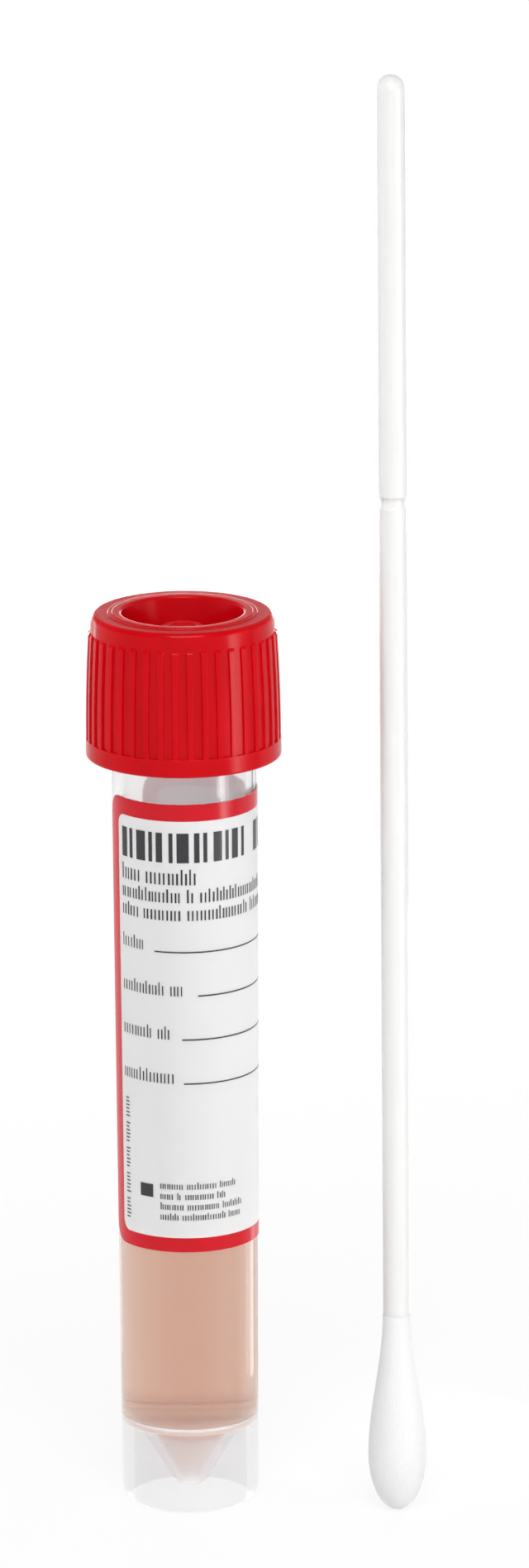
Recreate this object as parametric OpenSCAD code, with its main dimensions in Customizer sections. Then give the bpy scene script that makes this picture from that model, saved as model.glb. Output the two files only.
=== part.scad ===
// Specimen swab tube: a skirted screw-cap tube with transport medium, and the swab that goes with it.
// Millimetres, +Z up. The origin is on the tube's axis, on the surface that the tube stands on.
// The front of the tube is towards -Y.

/* [Tube] */
// Outside diameter of the tube at its mouth
mouth_d = 16.2; // [15.4:0.1:16.6]
// Outside diameter of the tube at its foot, narrower by the moulding draft
foot_d = 15.3; // [14.4:0.1:16]
// Height of the tube from its foot to the rim of its mouth
tube_h = 101.2; // [90:0.1:112]
// Wall of the tube and of its conical bottom
wall = 1.1; // [0.9:0.05:1.25]
// Rounding of both edges of the rim
rim_round = 0.3; // [0.1:0.05:0.4]

/* [Skirt] */
// Wall of the skirt below the cone
skirt_wall = 1.3; // [1.1:0.05:1.6]
// Height of the rounded outer edge of the foot
foot_round_h = 1.8; // [0.8:0.1:2.6]
// Width of the flat ring that the tube stands on
foot_land = 0.3; // [0.1:0.05:0.5]

/* [Conical bottom] */
// Height of the cone's tip above the foot
tip_gap = 1.5; // [1:0.1:3.5]
// Radius of the flat at the cone's tip
tip_flat_r = 1; // [0.6:0.1:1.4]
// Rounding between the tip's flat and the cone
tip_round = 1.2; // [0.6:0.1:1.5]
// Half angle of the cone, from the tube's axis
cone_angle = 30.5; // [28:0.5:36]
// Width of the shoulder between the cone and the skirt
shoulder_w = 1.1; // [0.6:0.1:1.4]
// Slope of the shoulder, up from the horizontal
shoulder_slope = 36; // [24:1:42]

/* [Cap] */
// Height of the cap
cap_h = 16.4; // [14.6:0.05:18]
// Wall of the side under the rounded top edge
cap_wall = 1.025; // [0.8:0.025:1.3]
// How much the side's radius grows from there down to the band, in a slight curve
side_draft = 0.45; // [0.3:0.025:0.6]
// How far the plain band round the open end stands out of the side
band_proud = 0.25; // [0.2:0.05:0.6]
// Height of the plain band
band_h = 2.1; // [1:0.1:3]
// Rounding of the outer top edge
cap_edge_r = 0.6; // [0.3:0.1:1]
// Rounding of the band's lower edge
band_edge_r = 0.3; // [0.1:0.05:0.5]
// Thickness of the ring over the tube's rim
cap_roof = 1.45; // [1.1:0.05:1.8]
// Width of the chamfer at the mouth of the cap
cap_lead_in = 0.4; // [0.2:0.05:0.6]

/* [Grip ribs] */
// Number of grip ribs
rib_count = 40; // [24:1:48]
// Distance of the ribs' upper ends below the top of the cap
rib_top_gap = 2.1; // [1.5:0.1:6]
// How far a rib stands out of the side
rib_proud = 0.22; // [0.1:0.02:0.24]
// Width of a rib at its root
rib_root_w = 0.85; // [0.6:0.05:1]
// Width of a rib at its crest
rib_crest_w = 0.5; // [0.3:0.05:0.55]
// Rounding of a rib's upper end
rib_end_r = 0.45; // [0.3:0.05:0.6]

/* [Cap top] */
// Width of the flat ring, with its rounded outer edge
ring_w = 1.825; // [1.3:0.025:2]
// Number of fine steps from the ring up towards the recess
step_count = 2; // [0:1:3]
// Width of a fine step
step_w = 0.5; // [0.3:0.05:0.6]
// Rise at each fine step
step_rise = 0.07; // [0.05:0.01:0.1]
// Wall between the recess and the outside of the plug, at the tube's rim
plug_wall = 0.375; // [0.3:0.025:0.8]
// Depth of the recess below the top of the cap
recess_depth = 4.75; // [3.6:0.05:5.4]
// Rounding of the recess's upper edge
recess_edge_r = 0.35; // [0.2:0.05:0.5]
// Draft of the recess's wall
recess_draft = 12.5; // [11:0.5:14]
// Rounding between the recess's wall and floor
recess_foot_r = 0.6; // [0.3:0.05:0.9]
// Thickness of the recess's floor
recess_floor = 1; // [0.8:0.05:1.4]

/* [Docking boss] */
// Wall of the boss round the docking socket
boss_wall = 0.98; // [0.8:0.02:1.4]
// Depth of the boss's top below the top of the cap
boss_drop = 1.65; // [0.6:0.05:1.9]
// Rounding of the boss's upper edge
boss_edge_r = 0.5; // [0.2:0.1:0.8]
// Diameter of the dimple in the boss
dimple_d = 2.8; // [1.6:0.1:3.2]
// Depth of the dimple
dimple_depth = 0.4; // [0.2:0.05:0.6]
// Thickness between the dimple and the socket below it
boss_roof = 0.9; // [0.6:0.05:1.2]
// Length of the socket's collar below the recess's floor
collar_l = 2; // [1:0.1:3]
// Width of the flare at the socket's mouth
socket_flare = 0.5; // [0.2:0.05:0.7]

/* [Fits] */
// Room for the threads between the tube's mouth and the cap's side
thread_room = 1.05; // [0.9:0.05:1.3]
// Gap between the tube's rim and the cap
rim_gap = 0.2; // [0.1:0.05:0.4]
// Gap between the cap's plug and the tube's bore
plug_gap = 0.1; // [0.05:0.01:0.2]
// Width of the chamfer at the plug's lower edge
plug_chamfer = 0.3; // [0.1:0.05:0.5]
// Gap between the docking socket and the swab's lower shaft
dock_gap = 0.1; // [0.05:0.01:0.2]
// Gap between the medium and the tube's inner wall
medium_gap = 0.03; // [0.02:0.01:0.1]
// Thickness of the adhesive between the label's film and the tube
label_gap = 0.03; // [0.02:0.01:0.1]

/* [Label] */
// Clear window between the label's upper edge and the cap
label_window = 3.7; // [2:0.1:12]
// Height of the label
label_h = 51.8; // [30:0.1:52]
// Angle that the label covers round the tube
label_wrap = 300; // [200:5:340]
// Angle from the front of the tube to the label's left edge
label_left = 79; // [60:1:100]
// Thickness of the label's film
label_t = 0.12; // [0.08:0.01:0.3]
// Radius of the label's corners
label_corner_r = 2.4; // [1:0.1:4]

/* [Medium] */
// Height of the medium's surface above the foot
fill_z = 32; // [24:0.5:60]
// Rise of the medium's surface at the wall
meniscus_h = 0.5; // [0.2:0.05:1]

/* [Swab] */
// Length of the swab
swab_l = 164.4; // [150:0.1:175]
// Diameter of the shaft below the breaking notch
shaft_d = 3.04; // [2.8:0.02:3.3]
// How far the handle above the notch stands out of the shaft
handle_proud = 0.1; // [0.05:0.01:0.3]
// Depth of the breaking notch in the shaft
notch_depth = 0.17; // [0.1:0.01:0.4]
// Height of the breaking notch above the swab's tip
notch_z = 116.5; // [70:0.1:130]
// Length of the breaking notch
notch_l = 1.4; // [1:0.1:2]
// Distance of the swab to the right of the tube
swab_right = 23.3; // [18:0.1:40]
// Distance of the swab in front of the tube's axis
swab_front = 5.6; // [0:0.1:12]

/* [Fibre bud] */
// Length of the fibre bud
bud_l = 22.9; // [18:0.1:28]
// Largest diameter of the bud
bud_d = 6.6; // [5:0.1:7.5]
// Height of the bud's widest place above its tip
bud_wide_z = 6.4; // [5.5:0.1:9]
// Thickness of the fibre where it ends on the shaft
bud_skin = 0.06; // [0.03:0.01:0.15]
// Thickness of the fibre under the shaft's end
bud_tip_t = 2.4; // [1.5:0.1:4]

/* [Hidden] */
$fn = 96;
arc_n = 8;
side_n = 5;
bud_n = 14;

// Radii of the tube
function out_r(z) = (foot_d + (mouth_d - foot_d) * z / tube_h) / 2;
function bore_r(z) = out_r(z) - wall;
skirt_in_r = foot_d / 2 - skirt_wall;
shoulder_r = skirt_in_r - shoulder_w;

// Corners of the conical bottom's underside: end of the tip's rounding, and the shoulder's corner
tip_r = tip_flat_r + tip_round * cos(cone_angle);
tip_z = tip_gap + tip_round * (1 - sin(cone_angle));
shoulder_z = tip_z + (shoulder_r - tip_r) / tan(cone_angle);
skirt_top_z = shoulder_z + (skirt_in_r - shoulder_r) * tan(shoulder_slope);

// Heights along the cap
roof_z = tube_h + rim_gap;
cap_top = roof_z + cap_roof;
cap_z = cap_top - cap_h;
ledge_z = cap_z + band_h;
rib_top_z = cap_top - rib_top_gap;
ring_z = cap_top - step_count * step_rise;
floor_z = cap_top - recess_depth;
plug_z = floor_z - recess_floor;
boss_z = cap_top - boss_drop;
socket_top_z = boss_z - dimple_depth - boss_roof;
collar_z = plug_z - collar_l;

// Radii of the cap: the side over the tube's threads, and the plug in its mouth
cap_bore_r = mouth_d / 2 + thread_room;
side_top_r = cap_bore_r + cap_wall;
side_low_r = side_top_r + side_draft;
band_r = side_low_r + band_proud;
plug_r = bore_r(plug_z) - plug_gap;
recess_wall_r = plug_r - plug_wall + (cap_top - recess_edge_r - roof_z) * tan(recess_draft);
recess_floor_r = recess_wall_r - (cap_top - recess_edge_r - floor_z) * tan(recess_draft);
socket_r = shaft_d / 2 + dock_gap;
boss_r = socket_r + boss_wall;

// Radii of the swab's handle and of its breaking notch
handle_r = shaft_d / 2 + handle_proud;
notch_r = shaft_d / 2 - notch_depth;

// Ends of the label
label_top_z = cap_z - label_window;
label_z = label_top_z - label_h;

// Points of an arc round [r, z], with half axes a and b, from angle t0 to angle t1
function arc(r, z, a, b, t0, t1, n = arc_n) =
    [for (i = [0:n]) let (t = t0 + (t1 - t0) * i / n) [r + a * cos(t), z + b * sin(t)]];

// Inner outline of the conical bottom, a distance t inside its underside, from the axis to the bore
function bottom_inside(t) =
    let (
        rise = t * (tan(cone_angle) / cos(shoulder_slope) - 1 / cos(cone_angle)),
        corner_dr = rise / (1 - tan(shoulder_slope) * tan(cone_angle)),
        corner_dz = t / cos(shoulder_slope) + corner_dr * tan(shoulder_slope),
        flat_z = tip_gap + t,
        flat_r = tip_r + (flat_z - tip_z) * tan(cone_angle) - t / cos(cone_angle),
        bore = out_r(skirt_top_z) - t,
        bore_z = shoulder_z + t / cos(shoulder_slope) + (bore - shoulder_r) * tan(shoulder_slope)
    )
    [
        [0, flat_z],
        [flat_r, flat_z],
        [shoulder_r + corner_dr, shoulder_z + corner_dz],
        [bore, bore_z],
    ];

function reversed(points) = [for (i = [len(points) - 1:-1:0]) points[i]];

// Radius of the bud at height z above its tip
function bud_r(z) =
    z < bud_wide_z
    ? bud_d / 2 * pow(1 - pow((bud_wide_z - z) / bud_wide_z, 2), 0.48)
    : let (
          end_r = shaft_d / 2 + bud_skin,
          share = (z - bud_wide_z) / (bud_l - bud_wide_z)
      )
      end_r + (bud_d / 2 - end_r) * (1 + cos(180 * share)) / 2;

// One moulding: body, rim, conical bottom and skirt
module tube() {
    land_r = skirt_in_r + foot_land;
    round_r = out_r(foot_round_h) - land_r;
    color("gainsboro", 0.5)
    rotate_extrude()
    polygon(concat(
        [[skirt_in_r, 0]],
        arc(land_r, foot_round_h, round_r, foot_round_h, -90, 0),
        arc(out_r(tube_h) - rim_round, tube_h - rim_round, rim_round, rim_round, 0, 90),
        arc(bore_r(tube_h) + rim_round, tube_h - rim_round, rim_round, rim_round, 90, 180),
        reversed(bottom_inside(wall)),
        [[0, tip_gap]],
        arc(tip_flat_r, tip_gap + tip_round, tip_round, tip_round, -90, -cone_angle),
        [[shoulder_r, shoulder_z], [skirt_in_r, skirt_top_z]]
    ));
}

// Radius of the cap's side between its ribs, at height z from the band up to the top edge
function side_r(z) =
    side_low_r - side_draft * pow(max(z - ledge_z, 0) / (ring_z - cap_edge_r - ledge_z), 2);

// Outline of the side, dr outside it, from height z0 up to z1
function side_line(dr, z0, z1) =
    [for (i = [0:side_n]) let (z = z0 + (z1 - z0) * i / side_n) [side_r(z) + dr, z]];

// Steps of the cap's top ring, from the outer one to the recess
function ring_steps() = [
    for (i = [0:1:step_count - 1], up = [0, 1])
        [side_top_r - ring_w - i * step_w - up * step_rise / 2, ring_z + (i + up) * step_rise]
];

// Half section of the cap without its ribs
module cap_section() {
    polygon(concat(
        [[cap_bore_r + cap_lead_in, cap_z]],
        arc(band_r - band_edge_r, cap_z + band_edge_r, band_edge_r, band_edge_r, -90, 0),
        [[band_r, ledge_z]],
        side_line(0, ledge_z, ring_z - cap_edge_r),
        arc(side_top_r - cap_edge_r, ring_z - cap_edge_r, cap_edge_r, cap_edge_r, 10, 90),
        ring_steps(),
        arc(
            recess_wall_r + recess_edge_r, cap_top - recess_edge_r,
            recess_edge_r, recess_edge_r, 90, 180 - recess_draft
        ),
        arc(
            recess_floor_r - recess_foot_r, floor_z + recess_foot_r,
            recess_foot_r, recess_foot_r, -recess_draft, -90
        ),
        [[boss_r, floor_z]],
        arc(boss_r - boss_edge_r, boss_z - boss_edge_r, boss_edge_r, boss_edge_r, 0, 90),
        arc(0, boss_z, dimple_d / 2, dimple_depth, 0, -90),
        [
            [0, socket_top_z],
            [socket_r, socket_top_z],
            [socket_r, collar_z + socket_flare],
            [socket_r + socket_flare, collar_z],
            [boss_r, collar_z],
            [boss_r, plug_z],
            [plug_r - plug_chamfer, plug_z],
            [plug_r, plug_z + plug_chamfer],
            [plug_r, roof_z],
            [cap_bore_r, roof_z],
            [cap_bore_r, cap_z + cap_lead_in],
        ]
    ));
}

// Plan of the ribs: a tooth for each rib, with its root inside the side wall
module rib_plan(root_r) {
    for (i = [0:rib_count - 1])
        rotate(360 * (i + 0.5) / rib_count)
        polygon([
            [root_r, -rib_root_w / 2],
            [side_top_r, -rib_root_w / 2],
            [band_r + rib_proud, -rib_crest_w / 2],
            [band_r + rib_proud, rib_crest_w / 2],
            [side_top_r, rib_root_w / 2],
            [root_r, rib_root_w / 2],
        ]);
}

// Ribs: the plan drawn up, and trimmed to the side's taper and to rounded upper ends
module ribs() {
    root_r = (cap_bore_r + side_top_r) / 2;
    foot_z = ledge_z - band_h / 4;
    end_z = rib_top_z - rib_end_r;
    intersection() {
        translate([0, 0, foot_z]) linear_extrude(rib_top_z - foot_z) rib_plan(root_r);
        rotate_extrude()
        polygon(concat(
            [[root_r, foot_z], [side_low_r + rib_proud, foot_z]],
            side_line(rib_proud, ledge_z, end_z),
            arc(side_r(end_z) + rib_proud - rib_end_r, end_z, rib_end_r, rib_end_r, 10, 90),
            [[root_r, rib_top_z]]
        ));
    }
}

// One moulding: ribbed side, recessed top, plug and docking boss
module cap() {
    color([0.8, 0, 0.09]) {
        rotate_extrude() cap_section();
        ribs();
    }
}

// Cuts the label's corner square round, at angle a round the tube and height z
module label_corner(a, z, side, up) {
    r = label_corner_r;
    mid_r = out_r(z);
    half = side * r / mid_r * 90 / PI;
    rotate([0, 0, a + half])
    translate([mid_r - 1, 0, z])
    rotate([90, 0, 90])
    linear_extrude(2)
    difference() {
        translate([side > 0 ? -r : -r / 2, up > 0 ? -r / 2 : -r]) square([1.5 * r, 1.5 * r]);
        translate([side * r / 2, up * r]) circle(r);
    }
}

// Film round the tube
module label() {
    r0 = out_r(label_z) + label_gap;
    r1 = out_r(label_top_z) + label_gap;
    a0 = 270 - label_left;
    a1 = a0 + label_wrap;
    color("white")
    difference() {
        rotate([0, 0, a0])
        rotate_extrude(angle = label_wrap)
        polygon([
            [r0, label_z],
            [r0 + label_t, label_z],
            [r1 + label_t, label_top_z],
            [r1, label_top_z],
        ]);
        label_corner(a0, label_z, 1, 1);
        label_corner(a1, label_z, -1, 1);
        label_corner(a0, label_top_z, 1, -1);
        label_corner(a1, label_top_z, -1, -1);
    }
}

// Liquid in the tube, with a hollow surface
module medium() {
    top_r = bore_r(fill_z) - medium_gap;
    color([0.84, 0.65, 0.55])
    rotate_extrude()
    polygon(concat(
        bottom_inside(wall + medium_gap),
        arc(0, fill_z + meniscus_h, top_r, meniscus_h, 0, -90)
    ));
}

// Moulded shaft with its breaking notch and round end, standing on the bud
module swab_shaft() {
    shaft_r = shaft_d / 2;
    color("white")
    translate([swab_right, -swab_front, 0])
    rotate_extrude()
    polygon(concat(
        [[0, bud_tip_t]],
        arc(shaft_r / 2, bud_tip_t + shaft_r / 2, shaft_r / 2, shaft_r / 2, -90, 0),
        arc(shaft_r, notch_z, shaft_r - notch_r, notch_l / 2, 270, 180, arc_n / 2),
        arc(handle_r, notch_z, handle_r - notch_r, notch_l / 2, 180, 90, arc_n / 2),
        arc(0, swab_l - handle_r, handle_r, handle_r, 0, 90)
    ));
}

// Fibre wound on the shaft's end
module swab_bud() {
    shaft_r = shaft_d / 2;
    color("snow")
    translate([swab_right, -swab_front, 0])
    rotate_extrude()
    polygon(concat(
        [for (i = [0:bud_n]) let (z = bud_wide_z * (1 - cos(90 * i / bud_n))) [bud_r(z), z]],
        [for (i = [1:bud_n]) let (z = bud_wide_z + (bud_l - bud_wide_z) * i / bud_n) [bud_r(z), z]],
        reversed(arc(shaft_r / 2, bud_tip_t + shaft_r / 2, shaft_r / 2, shaft_r / 2, -90, 0)),
        [[0, bud_tip_t]]
    ));
}

tube();
cap();
label();
medium();
swab_shaft();
swab_bud();
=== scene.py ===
"""Looks of the specimen swab tube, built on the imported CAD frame. Blender 4.5, in metres."""

import math

import bpy
import numpy as np
from mathutils import Matrix, Vector

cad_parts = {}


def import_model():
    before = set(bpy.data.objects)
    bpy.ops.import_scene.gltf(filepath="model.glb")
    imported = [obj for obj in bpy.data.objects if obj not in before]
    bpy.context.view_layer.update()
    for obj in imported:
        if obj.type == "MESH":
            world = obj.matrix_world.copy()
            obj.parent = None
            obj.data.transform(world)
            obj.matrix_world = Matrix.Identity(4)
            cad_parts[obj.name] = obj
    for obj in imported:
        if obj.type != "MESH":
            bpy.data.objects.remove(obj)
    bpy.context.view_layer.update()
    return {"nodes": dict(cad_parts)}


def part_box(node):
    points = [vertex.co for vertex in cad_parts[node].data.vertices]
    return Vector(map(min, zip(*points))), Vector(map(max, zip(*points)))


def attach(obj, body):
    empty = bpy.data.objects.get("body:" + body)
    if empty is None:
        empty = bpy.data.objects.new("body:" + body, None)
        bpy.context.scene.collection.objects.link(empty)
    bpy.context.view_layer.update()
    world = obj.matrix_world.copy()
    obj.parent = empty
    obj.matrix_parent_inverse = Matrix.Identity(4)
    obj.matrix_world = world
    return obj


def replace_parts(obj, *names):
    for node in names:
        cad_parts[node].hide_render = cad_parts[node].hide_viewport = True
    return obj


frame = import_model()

MM = 0.001
FRONT = -math.pi / 2
PRINT_SEED, FIBRE_SEED = 11, 7
nodes = frame["nodes"]


# ---------------------------------------------------------------- measures from the frame


def meet(node, start, direction):
    """Place where a ray first meets a node."""
    hit, place, _, _ = nodes[node].ray_cast(Vector(start), Vector(direction))
    if not hit:
        raise ValueError(f"the ray from {start} along {direction} does not meet {node}")
    return place


def surface_radius(node, z, axis=(0, 0)):
    """Radius of a round node's outside at height z, met from its right."""
    far_out = 50 * MM
    return meet(node, (axis[0] + far_out, axis[1], z), (-1, 0, 0)).x - axis[0]


def shoulder_height():
    """Height of the tube's shoulder, met from below, close inside the skirt's wall."""
    skirt_z, start_z, past_wall = 1 * MM, 0.5 * MM, 1.35 * MM
    inside = surface_radius("tube", skirt_z) - past_wall
    return meet("tube", (inside, 0, start_z), (0, 0, 1)).z


def label_radius(z):
    """Outer radius of the label's film at height z."""
    return LABEL_R0 + (LABEL_R1 - LABEL_R0) * (z - LABEL_Z0) / LABEL_H


def film_radius(angle, z):
    """Radius at which the label's mesh lies at an angle and height."""
    far_out = 20 * MM
    ray = Vector((math.cos(angle), math.sin(angle), 0))
    hit, place, _, _ = nodes["label"].ray_cast(far_out * ray + Vector((0, 0, z)), -ray)
    return math.hypot(place.x, place.y) if hit else label_radius(z)


def label_span():
    """Left edge and width of the label, as angles round the tube in radians."""
    angles = sorted(
        math.atan2(v.co.y, v.co.x) % math.tau for v in nodes["label"].data.vertices
    )
    gaps = [(b - a, b) for a, b in zip(angles, angles[1:] + [angles[0] + math.tau])]
    widest, left = max(gaps)
    return left % math.tau, math.tau - widest


_, tube_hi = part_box("tube")
cap_lo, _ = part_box("cap")
label_lo, label_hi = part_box("label")
bud_lo, bud_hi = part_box("swab_bud")

MOUTH_Z = tube_hi.z
MOUTH_R = tube_hi.x
CAP_Z = cap_lo.z
CAP_BORE_R = meet("cap", (0, 0, CAP_Z + 3 * MM), (1, 0, 0)).x
SWAB = ((bud_lo.x + bud_hi.x) / 2, (bud_lo.y + bud_hi.y) / 2)

LABEL_Z0, LABEL_Z1 = label_lo.z, label_hi.z
LABEL_H = LABEL_Z1 - LABEL_Z0
LABEL_MID_Z = (LABEL_Z0 + LABEL_Z1) / 2
EDGE = 0.2 * MM
LABEL_R0 = surface_radius("label", LABEL_Z0 + EDGE)
LABEL_R1 = surface_radius("label", LABEL_Z1 - EDGE)
LABEL_R = (LABEL_R0 + LABEL_R1) / 2
LABEL_LEFT, LABEL_WRAP = label_span()

# The milky foot ends, and the clear wall and the liquid begin, between the heights in WET_Z.
# The milky neck begins between the heights in NECK_Z, a little above the cap's lower edge.
SHOULDER_Z = shoulder_height() + 0.08 * MM
WET_Z = (SHOULDER_Z + 0.95 * MM, SHOULDER_Z + 1.1 * MM)
NECK_Z = (CAP_Z + 0.5 * MM, CAP_Z + 0.8 * MM)


# ---------------------------------------------------------------- mesh helpers


def new_piece(name, verts, faces, material, body, smooth=True):
    """A mesh object that rides on a body and takes its finish from a slot."""
    mesh = bpy.data.meshes.new(name)
    mesh.from_pydata([tuple(v) for v in verts], [], [tuple(f) for f in faces])
    mesh.polygons.foreach_set("use_smooth", [smooth] * len(mesh.polygons))
    mesh.update()
    mesh.materials.append(material)
    piece = bpy.data.objects.new(name, mesh)
    bpy.context.scene.collection.objects.link(piece)
    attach(piece, body)
    return piece


def tube_faces(rings, per_ring):
    """Quads of a closed ring section carried along rings, with both ends capped."""
    faces = []
    for i in range(rings - 1):
        for j in range(per_ring):
            k = (j + 1) % per_ring
            a, b = i * per_ring, (i + 1) * per_ring
            faces.append((a + j, b + j, b + k, a + k))
    last = (rings - 1) * per_ring
    faces.append(tuple(range(per_ring)))
    faces.append(tuple(last + j for j in reversed(range(per_ring))))
    return faces


# ---------------------------------------------------------------- material helpers


class Shade:
    """A material's node tree, with short calls for the nodes used here."""

    def __init__(self, name):
        self.mat = bpy.data.materials.new(name)
        self.mat.use_nodes = True
        self.tree = self.mat.node_tree
        self.bsdf = self.tree.nodes["Principled BSDF"]
        self.out = self.tree.nodes["Material Output"]

    def add(self, kind, **settings):
        """A new node with its settings."""
        node = self.tree.nodes.new(kind)
        for key, value in settings.items():
            setattr(node, key, value)
        return node

    def feed(self, socket, value):
        """Links a socket, or sets its value."""
        if isinstance(value, bpy.types.NodeSocket):
            self.tree.links.new(value, socket)
        else:
            socket.default_value = value

    def set(self, **values):
        """Sets or links inputs of the main shader; underscores stand for spaces."""
        for key, value in values.items():
            self.feed(self.bsdf.inputs[key.replace("_", " ")], value)

    def math(self, op, a, b=0.0):
        """One operation on numbers or sockets."""
        node = self.add("ShaderNodeMath", operation=op)
        for socket, value in zip(node.inputs, (a, b)):
            self.feed(socket, value)
        return node.outputs[0]

    def dot(self, u, v):
        """Sum of the products of two pairs."""
        first, second = (self.math("MULTIPLY", a, b) for a, b in zip(u, v))
        return self.math("ADD", first, second)

    def length(self, a, b):
        """Root of the sum of two squares."""
        squares = self.math("ADD", self.math("POWER", a, 2.0), self.math("POWER", b, 2.0))
        return self.math("SQRT", squares)

    def coords(self):
        """Places in the object's own space, in metres, which ride with the piece."""
        return self.add("ShaderNodeTexCoord").outputs["Object"]

    def xyz(self, vector=None):
        """The three parts of a vector, or of the place if none is given."""
        node = self.add("ShaderNodeSeparateXYZ")
        self.feed(node.inputs[0], vector or self.coords())
        return node.outputs

    def noise(self, scale, detail, stretch=(1, 1, 1), distortion=0.0):
        """Noise round 0.5; a stretch under 1 draws it out along that axis."""
        place = self.add("ShaderNodeVectorMath", operation="MULTIPLY")
        self.feed(place.inputs[0], self.coords())
        self.feed(place.inputs[1], stretch)
        node = self.add("ShaderNodeTexNoise")
        self.feed(node.inputs["Vector"], place.outputs[0])
        self.feed(node.inputs["Scale"], scale)
        self.feed(node.inputs["Detail"], detail)
        self.feed(node.inputs["Distortion"], distortion)
        return node.outputs["Fac"]

    def ramp(self, value, low, high, to_low=0.0, to_high=1.0):
        """Smooth change from to_low to to_high while the value goes from low to high."""
        node = self.add("ShaderNodeMapRange", interpolation_type="SMOOTHSTEP")
        for key, v in zip(
            ("Value", "From Min", "From Max", "To Min", "To Max"),
            (value, low, high, to_low, to_high),
        ):
            self.feed(node.inputs[key], v)
        return node.outputs[0]

    def blend(self, share, a, b):
        """Smooth change from number a to number b while the share goes from 0 to 1."""
        return self.ramp(share, 0.0, 1.0, a, b)

    def mix(self, share, a, b):
        """Even change from colour a to colour b while the share goes from 0 to 1."""
        node = self.add("ShaderNodeMix", data_type="RGBA")
        self.feed(node.inputs[0], share)
        for socket, colour in zip((node.inputs[6], node.inputs[7]), (a, b)):
            self.feed(socket, (*colour, 1) if isinstance(colour, tuple) else colour)
        return node.outputs[2]

    def bump(self, height, distance, strength, below=None):
        """Fine relief on the main shader, laid over the normals in below if it is given."""
        node = self.add("ShaderNodeBump")
        self.feed(node.inputs["Height"], height)
        self.feed(node.inputs["Distance"], distance)
        self.feed(node.inputs["Strength"], strength)
        if below is not None:
            self.feed(node.inputs["Normal"], below)
        self.feed(self.bsdf.inputs["Normal"], node.outputs[0])
        return node.outputs[0]


# ---------------------------------------------------------------- materials


def tube_plastic():
    """Polypropylene: clear and light-bending in the wall, milky and faint in foot and neck.

    The foot is the cone with the skirt round it, and the neck is what the cap covers.
    """
    s = Shade("tube_plastic")
    clear_tint = (0.985, 0.98, 0.985)
    # The cone's pink is painted light: it stands for the liquid's colour shining through the milky
    # wall.
    cone_painted_liquid_glow, skirt_milk = (0.99, 0.88, 0.855), (0.71, 0.70, 0.725)
    cone_cover, skirt_cover = 0.3, 0.19
    inner_clear, outer_clear, upper_clear = 0.93, 0.62, 0.95

    waves = s.noise(900, detail=1, stretch=(1, 1, 0.25))
    x, y, z = s.xyz()
    far = s.length(x, y)
    below_neck = s.math("SUBTRACT", 1.0, s.ramp(z, *NECK_Z))
    wall = s.math("MULTIPLY", s.ramp(z, *WET_Z), below_neck)
    milky = s.math("SUBTRACT", 1.0, wall)
    skirt = s.math("MULTIPLY", s.ramp(far, 5.4 * MM, 6.2 * MM), milky)
    upper = s.ramp(z, SHOULDER_Z + 0.2 * MM, SHOULDER_Z + 3.6 * MM)
    lower_clear = s.ramp(far, 6.9 * MM, 7.2 * MM, inner_clear, outer_clear)
    s.set(
        Base_Color=s.mix(upper, s.mix(skirt, cone_painted_liquid_glow, skirt_milk), clear_tint),
        IOR=1.45,
        Alpha=s.blend(wall, s.blend(skirt, cone_cover, skirt_cover), 1.0),
        Transmission_Weight=s.math("MULTIPLY", wall, s.blend(upper, lower_clear, upper_clear)),
        Roughness=s.ramp(waves, 0.3, 0.7, 0.06, 0.1),
    )
    s.bump(s.noise(350, detail=2, stretch=(1, 1, 0.4)), 0.004 * MM, 0.6)
    return s.mat


def cap_plastic():
    """Red moulded plastic: light bleeds a little way into it, and its edges are softly rounded."""
    s = Shade("cap_plastic")
    flow = s.noise(420, detail=3, stretch=(1, 1, 0.3))
    grain = s.noise(9000, detail=2)
    s.set(
        Base_Color=s.mix(s.ramp(flow, 0.3, 0.7), (0.52, 0.0001, 0.004), (0.56, 0.0003, 0.005)),
        Roughness=s.ramp(flow, 0.25, 0.75, 0.17, 0.22),
        Specular_IOR_Level=0.11,
        Subsurface_Weight=0.6,
        Subsurface_Radius=(1.0, 0.1, 0.1),
        Subsurface_Scale=0.9 * MM,
    )
    edges = s.add("ShaderNodeBevel", samples=6)
    s.feed(edges.inputs["Radius"], 0.1 * MM)
    fine = s.bump(grain, 0.0025 * MM, 0.5, below=edges.outputs[0])
    s.bump(flow, 0.005 * MM, 0.5, below=fine)
    return s.mat


def label_border(s, x, y, z):
    """1 on the label's printed border and 0 in the field with rounded corners inside it."""
    top, low, side, corner, soft = 1.95 * MM, 1.66 * MM, 2.2 * MM, 1.2 * MM, 0.02 * MM
    middle = LABEL_LEFT + LABEL_WRAP / 2
    cos, sin = math.cos(middle), math.sin(middle)
    turn = s.math("ARCTAN2", s.dot((y, x), (cos, -sin)), s.dot((x, y), (cos, sin)))
    across = s.math("MULTIPLY", s.math("ABSOLUTE", turn), LABEL_R)
    up = s.math("ABSOLUTE", s.math("SUBTRACT", z, LABEL_MID_Z + (low - top) / 2))
    past_side = s.math("SUBTRACT", across, LABEL_WRAP / 2 * LABEL_R - side - corner)
    past_end = s.math("SUBTRACT", up, (LABEL_H - top - low) / 2 - corner)
    outside = s.length(s.math("MAXIMUM", past_side, 0.0), s.math("MAXIMUM", past_end, 0.0))
    inside = s.math("MINIMUM", s.math("MAXIMUM", past_side, past_end), 0.0)
    distance = s.math("SUBTRACT", s.math("ADD", outside, inside), corner)
    return s.ramp(distance, -soft, soft)


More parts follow.
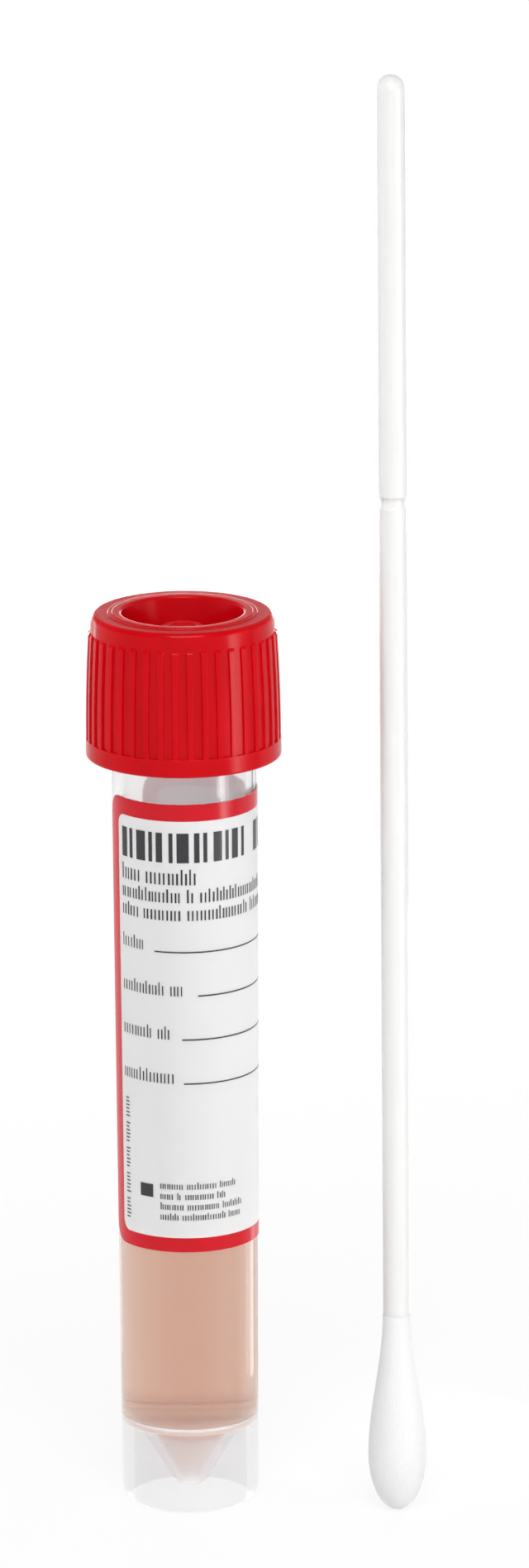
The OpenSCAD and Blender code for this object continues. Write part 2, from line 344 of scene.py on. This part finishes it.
def label_film():
    """White film with a printed red border; its inner face has a painted pink glow."""
    s = Shade("label_film")
    x, y, z = s.xyz()
    border = label_border(s, x, y, z)
    normal_x, normal_y, _ = s.xyz(s.add("ShaderNodeTexCoord").outputs["Normal"])
    outer_face = s.math("GREATER_THAN", s.dot((normal_x, normal_y), (x, y)), 0.0)
    red = s.mix(s.noise(5200, detail=2), (0.60, 0.004, 0.012), (0.64, 0.006, 0.016))
    white = s.mix(s.noise(160, detail=2), (0.935, 0.93, 0.945), (0.95, 0.945, 0.96))
    # Painted light: the inner pink, deeper behind the border, stands for light through film and
    # print.
    inner = s.mix(border, (0.98, 0.73, 0.74), (0.98, 0.62, 0.63))
    s.set(
        Base_Color=s.mix(outer_face, inner, s.mix(border, white, red)),
        Roughness=s.blend(border, 0.5, 0.2),
        Specular_IOR_Level=0.22,
        Subsurface_Weight=0.9,
        Subsurface_Radius=(1.0, 1.0, 1.0),
        Subsurface_Scale=0.52 * MM,
    )
    s.bump(s.noise(2600, detail=2), 0.002 * MM, 0.5)
    return s.mat


def print_ink():
    """Black printing ink, slightly uneven."""
    s = Shade("print_ink")
    s.set(
        Base_Color=s.mix(s.noise(4200, detail=3), (0.012, 0.012, 0.014), (0.03, 0.03, 0.034)),
        Roughness=0.4,
    )
    s.bump(s.noise(6000, detail=2), 0.002 * MM, 0.5)
    return s.mat


def medium_liquid():
    """Clear peach-coloured liquid, whose depth gives its colour; it doesn't show in the foot."""
    s = Shade("medium_liquid")
    _, _, z = s.xyz()
    s.set(
        Base_Color=(1, 1, 1, 1),
        IOR=1.33,
        Transmission_Weight=1.0,
        Roughness=0.0,
        Alpha=s.ramp(z, *WET_Z),
    )
    volume = s.add("ShaderNodeVolumeAbsorption")
    s.feed(volume.inputs["Color"], (0.80, 0.42, 0.16, 1))
    s.feed(volume.inputs["Density"], 130)
    s.feed(s.out.inputs["Volume"], volume.outputs[0])
    s.bump(s.noise(60, detail=1), 0.002 * MM, 0.2)
    return s.mat


def shaft_plastic():
    """White moulded plastic, with faint flow lines along the shaft."""
    s = Shade("shaft_plastic")
    flow = s.noise(2600, detail=3, stretch=(1, 1, 0.04))
    s.set(
        Base_Color=s.mix(flow, (0.74, 0.74, 0.73), (0.79, 0.79, 0.78)),
        Roughness=s.ramp(flow, 0.3, 0.7, 0.28, 0.36),
        Subsurface_Weight=0.3,
        Subsurface_Radius=(1.0, 0.95, 0.9),
        Subsurface_Scale=0.6 * MM,
    )
    s.bump(s.noise(1800, detail=3, stretch=(1, 1, 0.08)), 0.004 * MM, 0.5)
    return s.mat


def bud_fibre():
    """White wound fibre: soft, matte, with a slight sheen."""
    s = Shade("bud_fibre")
    fine = s.noise(9000, detail=3, stretch=(1, 1, 0.35), distortion=0.4)
    s.set(
        Base_Color=s.mix(fine, (0.73, 0.73, 0.74), (0.84, 0.84, 0.85)),
        Roughness=0.85,
        Specular_IOR_Level=0.2,
        Sheen_Weight=0.25,
        Sheen_Roughness=0.5,
        Subsurface_Weight=0.35,
        Subsurface_Radius=(1.0, 1.0, 1.0),
        Subsurface_Scale=0.5 * MM,
    )
    s.bump(fine, 0.02 * MM, 0.5)
    return s.mat


def dress(node, material):
    """Gives a CAD node its material and slot."""
    mesh = nodes[node].data
    mesh.materials.clear()
    mesh.materials.append(material)


TUBE, CAP, FILM = tube_plastic(), cap_plastic(), label_film()
MEDIUM, SHAFT, FIBRE, INK = medium_liquid(), shaft_plastic(), bud_fibre(), print_ink()
for node, material, slot in (
    ("tube", TUBE, "tube_plastic"),
    ("cap", CAP, "cap_plastic"),
    ("label", FILM, "label_film"),
    ("medium", MEDIUM, "medium_liquid"),
    ("swab_shaft", SHAFT, "shaft_plastic"),
):
    dress(node, material)


# ---------------------------------------------------------------- medium


def wet_wall():
    """Grows the medium just into the wall, so that light passes from wall to liquid."""
    grow = nodes["medium"].modifiers.new("wet_wall", "DISPLACE")
    grow.strength = 0.07 * MM
    grow.mid_level = 0


wet_wall()


# ---------------------------------------------------------------- label's print


class Ink:
    """Thin closed patches on the label's film, gathered into one mesh."""

    SUNK, RAISED = 0.03 * MM, 0.012 * MM
    COLUMN_STEP = 0.25 * MM
    TALL_CHANCE, LOW_SHARE = 0.3, 0.74
    UNEVEN = (0.85, 1.15)
    WORD_GAP = 0.6

    def __init__(self):
        self.verts, self.faces = [], []

    def patch(self, left, width, z, height):
        """A patch up from height z, left and width being metres of arc from the front."""
        radius = label_radius(z + height / 2)
        start = FRONT + left / radius
        columns = np.linspace(0, width / radius, max(2, math.ceil(width / self.COLUMN_STEP)))
        first, n = len(self.verts), len(columns)
        for a in start + columns:
            for level in (z, z + height):
                film = film_radius(a, level)
                for r in (film - self.SUNK, film + self.RAISED):
                    self.verts.append((r * math.cos(a), r * math.sin(a), level))
        for i in range(n - 1):
            a, b = first + 4 * i, first + 4 * (i + 1)
            self.faces += [
                (a + 1, b + 1, b + 3, a + 3),
                (a, a + 2, b + 2, b),
                (a, b, b + 1, a + 1),
                (a + 2, a + 3, b + 3, b + 2),
            ]
        a, b = first, first + 4 * (n - 1)
        self.faces += [(a, a + 1, a + 3, a + 2), (b, b + 2, b + 3, b + 1)]

    def row(self, rng, left, z, height, pitch, words, share=0.42):
        """Plain strokes set like words.

        pitch is a pair's width, words says how many pairs each word has, and share is the
        part of its room that a stroke fills.
        """
        u = left
        for count in words:
            for stroke in range(2 * count):
                is_tall = stroke % 2 == 0 and rng.random() < self.TALL_CHANCE
                tall = height if is_tall else self.LOW_SHARE * height
                self.patch(u, pitch / 2 * share * rng.uniform(*self.UNEVEN), z, tall)
                u += pitch / 2 * rng.uniform(*self.UNEVEN)
            u += self.WORD_GAP * pitch


def heading_bars(ink, left, z, height):
    """Plain upright bars in place of the heading, as pairs of a width and the gap after it."""
    u = left
    for width, gap in (
        (0.9, 0.45), (0.45, 0.6), (1.2, 0.45), (0.45, 0.45), (0.75, 0.75), (0.45, 0.45),
        (1.35, 0.6), (0.6, 0.45), (0.45, 0.75), (1.05, 0.45), (0.45, 0.45), (0.9, 0.6),
        (0.45, 2.2), (1.2, 0.45), (0.45, 0.6), (0.75, 0.45),
    ):
        ink.patch(u, width * MM, z, height)
        u += (width + gap) * MM


def label_print():
    """Ruled lines, bars for the heading, and plain strokes where the label has text."""
    ink, rng = Ink(), np.random.default_rng(PRINT_SEED)
    top, low, text_left = LABEL_Z1, LABEL_Z0, -8.2 * MM
    heading_bars(ink, text_left, top - 6.7 * MM, 3.4 * MM)

    # Rows under the heading: drop from the top, height, pitch, share and words.
    for drop, height, pitch, share, words in (
        (9.25, 1.8, 1.05, 0.38, (3, 6)),
        (11.3, 1.55, 0.9, 0.42, (9, 1, 12)),
        (13.35, 1.55, 0.9, 0.42, (3, 5, 9, 6)),
    ):
        ink.row(rng, text_left, top - drop * MM, height * MM, pitch * MM, words, share)

    # Form lines: drop from the top, where the rule starts in degrees, and words before it.
    rule_right, rule = 15.5 * MM, 0.16 * MM
    for drop, start, words in (
        (17.0, -25, (4,)), (22.05, 10, (7, 2)), (27.1, -3, (5, 2)), (32.2, -2, (8,))
    ):
        z = top - drop * MM
        rule_left = math.radians(start) * label_radius(z)
        ink.patch(rule_left, rule_right - rule_left, z - rule / 2, rule)
        ink.row(rng, text_left, z, 1.5 * MM, 0.87 * MM, words, 0.34)

    # A plain square, and a block of small rows beside it.
    ink.patch(-5.7 * MM, 1.7 * MM, low + 6.2 * MM, 1.5 * MM)
    block_left, first_row, row_step = -3.1 * MM, 7.3, 1.2
    for line, words in enumerate(((5, 6, 4), (3, 1, 6, 2), (5, 7, 5), (4, 9, 3))):
        z = low + (first_row - row_step * line) * MM
        ink.row(rng, block_left, z, 0.8 * MM, 0.56 * MM, words)

    # A column of small ticks up the left edge, in groups of six.
    ticks_left, tick = -8.05 * MM, 0.15 * MM
    for i, z in enumerate(np.arange(3.2, 17.6, 0.42)):
        if i % 7 != 6:
            ink.patch(ticks_left, rng.uniform(0.5, 0.75) * MM, low + z * MM, tick)
    return new_piece("label_print", ink.verts, ink.faces, INK, "tube", smooth=False)


label_print()


# ---------------------------------------------------------------- threads


def thread(name, root_r, crest_r, z0, turns, material, body):
    """A screw thread: a tapered ridge on a helix, run out over a fifth of a turn at each end."""
    pitch, steps_per_turn, run_out_rate = 3 * MM, 96, 5
    half_root, half_crest, sunk, least = 0.75 * MM, 0.28 * MM, 0.12 * MM, 0.02
    sunk_r = root_r + (sunk if crest_r < root_r else -sunk)
    steps = int(turns * steps_per_turn)
    verts = []
    for i in range(steps + 1):
        t = i / steps
        run_out = min(1, t * turns * run_out_rate, (1 - t) * turns * run_out_rate)
        crest = root_r + (crest_r - root_r) * max(math.sin(run_out * math.pi / 2), least)
        a = math.tau * turns * t
        z = z0 + pitch * turns * t
        section = (
            (sunk_r, -half_root), (root_r, -half_root), (crest, -half_crest),
            (crest, half_crest), (root_r, half_root), (sunk_r, half_root),
        )
        verts += [(r * math.cos(a), r * math.sin(a), z + dz) for r, dz in section]
    return new_piece(name, verts, tube_faces(steps + 1, len(section)), material, body)


NECK_ROOT_R, NECK_CREST_R = MOUTH_R - 0.02 * MM, MOUTH_R + 0.5 * MM
CAP_CREST_R = CAP_BORE_R - 0.4 * MM
NECK_START_Z, CAP_START_Z = MOUTH_Z - 7.8 * MM, CAP_Z + 3.2 * MM
thread("neck_thread", NECK_ROOT_R, NECK_CREST_R, NECK_START_Z, 2.0, TUBE, "tube")
thread("cap_thread", CAP_BORE_R, CAP_CREST_R, CAP_START_Z, 2.2, CAP, "cap")


# ---------------------------------------------------------------- fibre bud


def fibre_height(angle, z, rng):
    """Height field of wound fibres, from 0 to 1: long ripples that cross each other."""
    ripples, slow_size = 3, 0.8
    total = np.zeros_like(angle)
    # Sets of ripples: which way they lean, how many waves go round, and their weight.
    for way, waves, weight in ((1, 34, 0.30), (-1, 41, 0.28), (1, 73, 0.22), (-1, 97, 0.2)):
        for _ in range(ripples):
            k = waves + rng.integers(-6, 7)
            lean = way * rng.uniform(900, 2600)
            wander = rng.uniform(0, math.tau)
            slow_waves, slow_lean = rng.integers(2, 6), rng.uniform(300, 900)
            slow = slow_size * np.sin(angle * slow_waves + z * slow_lean + wander)
            total += weight / ripples * (0.5 + 0.5 * np.sin(k * angle + lean * z + slow + wander))
    return total / total.max()


def fibre_bud():
    """The wound bud: the CAD form with fibre ridges cut in from it."""
    rng = np.random.default_rng(FIBRE_SEED)
    around, along = 240, 300
    low_z, top_z = 0.015 * MM, bud_hi.z - 0.02 * MM
    ridge, fade, least = 0.07 * MM, 1.0 * MM, 0.15
    zs = top_z * (1 - np.cos(np.linspace(0.0, 1.0, along) * math.pi / 2))
    zs = np.clip(zs, low_z, top_z)
    radii = np.array([surface_radius("swab_bud", z, SWAB) for z in zs])
    angles = np.linspace(0, math.tau, around, endpoint=False)
    a, z = np.meshgrid(angles, zs)
    r = np.repeat(radii[:, None], around, 1)
    depth = ridge * np.clip((r - radii[-1]) / fade, least, 1)
    r = r - depth * fibre_height(a, z, rng)
    verts = np.stack([SWAB[0] + r * np.cos(a), SWAB[1] + r * np.sin(a), z], -1).reshape(-1, 3)
    return new_piece("bud_fibre", verts, tube_faces(along, around), FIBRE, "tube")


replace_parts(fibre_bud(), "swab_bud")


# ---------------------------------------------------------------- stage


def floor():
    """A plain white floor, which close to the object keeps a soft part of the shadow."""
    half, z = 30.0, -0.00003
    near, far, near_glow = 0.05, 0.3, 0.85
    corners = [(-half, -half, z), (half, -half, z), (half, half, z), (-half, half, z)]
    mesh = bpy.data.meshes.new("floor")
    mesh.from_pydata(corners, [], [(0, 1, 2, 3)])
    s = Shade("floor")
    s.set(Base_Color=(0.86, 0.86, 0.86, 1), Roughness=0.9, Specular_IOR_Level=0.0)
    path = s.add("ShaderNodeLightPath").outputs
    seen = s.math("ADD", path["Is Camera Ray"], path["Is Glossy Ray"])
    seen = s.math("MINIMUM", s.math("ADD", seen, path["Is Transmission Ray"]), 1.0)
    x, y, _ = s.xyz()
    mixer = s.add("ShaderNodeMixShader")
    glow = s.math("MULTIPLY", seen, s.ramp(s.length(x, y), near, far, near_glow, 1.0))
    s.feed(mixer.inputs[0], glow)
    s.feed(mixer.inputs[1], s.bsdf.outputs[0])
    s.feed(mixer.inputs[2], s.add("ShaderNodeEmission").outputs[0])
    s.feed(s.out.inputs["Surface"], mixer.outputs[0])
    mesh.materials.append(s.mat)
    obj = bpy.data.objects.new("floor", mesh)
    bpy.context.scene.collection.objects.link(obj)


def world():
    """White near the horizon and where clear things show it, and a dim soft sky above."""
    w = bpy.data.worlds.new("studio")
    bpy.context.scene.world = w
    w.use_nodes = True
    tree = w.node_tree
    back = tree.nodes["Background"]
    back.inputs["Color"].default_value = (1, 1, 1, 1)
    coord = tree.nodes.new("ShaderNodeTexCoord")
    split = tree.nodes.new("ShaderNodeSeparateXYZ")
    ramp = tree.nodes.new("ShaderNodeMapRange")
    ramp.interpolation_type = "SMOOTHSTEP"
    for key, value in (("From Min", 0.12), ("From Max", 0.2), ("To Min", 1.0), ("To Max", 0.3)):
        ramp.inputs[key].default_value = value
    path = tree.nodes.new("ShaderNodeLightPath")
    seen = tree.nodes.new("ShaderNodeMath")
    seen.operation = "MAXIMUM"
    for source, socket in (
        (coord.outputs["Generated"], split.inputs[0]),
        (split.outputs["Z"], ramp.inputs["Value"]),
        (ramp.outputs[0], seen.inputs[0]),
        (path.outputs["Is Transmission Ray"], seen.inputs[1]),
        (seen.outputs[0], back.inputs["Strength"]),
    ):
        tree.links.new(source, socket)


def softbox(
    name, azimuth, distance, height, width, tall, power, aim_z,
    through=True, glossy=True, diffuse=True,
):
    """A rectangular lamp aimed at the tube's axis; azimuth is in degrees right of the front.

    through, glossy and diffuse say which kinds of ray meet it.
    """
    data = bpy.data.lights.new(name, "AREA")
    data.shape = "RECTANGLE"
    data.size, data.size_y, data.energy = width, tall, power
    lamp = bpy.data.objects.new(name, data)
    a = math.radians(azimuth)
    lamp.location = (distance * math.sin(a), -distance * math.cos(a), height)
    facing = Vector((0, 0, aim_z)) - lamp.location
    lamp.rotation_euler = facing.to_track_quat("-Z", "Y").to_euler()
    lamp.visible_camera = False
    lamp.visible_transmission = through
    lamp.visible_glossy = glossy
    lamp.visible_diffuse = diffuse
    bpy.context.scene.collection.objects.link(lamp)


def camera():
    """The photograph's long lens, looking down at the tube from in front."""
    elevation, distance, roll = math.radians(15.0), 1.4, math.radians(0.45)
    target = Vector((8.95 * MM, 0, 82.9 * MM))
    view_height = 174.34 * MM
    data = bpy.data.cameras.new("camera")
    data.sensor_width = 36
    data.lens = data.sensor_width * distance / view_height
    data.clip_start, data.clip_end = 0.05, 100
    obj = bpy.data.objects.new("camera", data)
    back = Vector((0, -math.cos(elevation), math.sin(elevation)))
    turn = (-back).to_track_quat("-Z", "Y").to_matrix() @ Matrix.Rotation(-roll, 3, "Z")
    obj.matrix_world = Matrix.Translation(target + back * distance) @ turn.to_4x4()
    bpy.context.scene.collection.objects.link(obj)
    bpy.context.scene.camera = obj


floor()
world()
softbox("key_right", 64, 0.20, 0.06, 0.03, 0.13, 0.082, aim_z=0.075)
softbox("fill_left", -105, 0.40, 0.175, 0.1, 0.35, 0.5, aim_z=0.175, glossy=False)
softbox(
    "sheen_right", 66, 0.20, 0.09, 0.07, 0.15, 0.085, aim_z=0.09, through=False, diffuse=False
)
softbox("strip_left", -142, 0.40, 0.07, 0.04, 0.13, 0.06, aim_z=0.07)
softbox("edge_right", 124, 0.05, 0.03, 0.012, 0.06, 0.0045, aim_z=0.03)
softbox("back_low", 180, 0.40, 0.075, 0.3, 0.13, 0.88, aim_z=0.06, through=False)
softbox("front_top", 4, 0.75, 0.95, 0.7, 0.7, 10.6, aim_z=0.07)
camera()

scene = bpy.context.scene
scene.view_settings.view_transform = "Standard"
scene.cycles.transparent_max_bounces = 32
